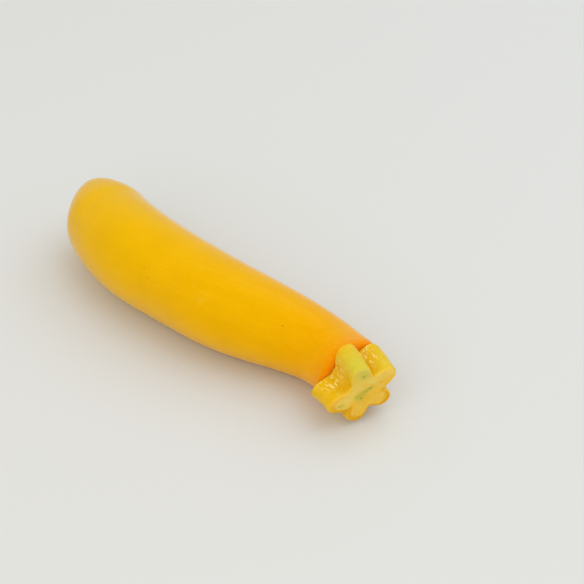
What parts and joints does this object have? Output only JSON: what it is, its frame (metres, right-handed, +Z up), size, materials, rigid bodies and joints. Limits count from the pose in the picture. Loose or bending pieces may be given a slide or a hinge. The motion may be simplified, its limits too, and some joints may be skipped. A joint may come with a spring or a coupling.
{
  "type": "zucchini",
  "caption": "Whole yellow zucchini, gently curved, lying on its belly, with a blossom scar at the fat end and a square-cut ribbed stem stub at the neck.",
  "frame": {"origin": "on the table, under the middle of the whole zucchini's box", "axes": "+Z up from the table, +X along the zucchini from its blossom end to its stem"},
  "size_m": [0.2028, 0.059, 0.047],
  "materials": {
    "skin": "waxy golden-yellow zucchini skin, satin, turning orange towards the neck, with fine pale pores and a corky blossom scar",
    "stem_flesh": "yellow-green ribbed stem with damp hollows, and a pale cut face with a greenish middle and a few dark green dots"
  },
  "bodies": {
    "root": {"fruit": "skin", "stem": "stem_flesh"}
  },
  "joints": []
}
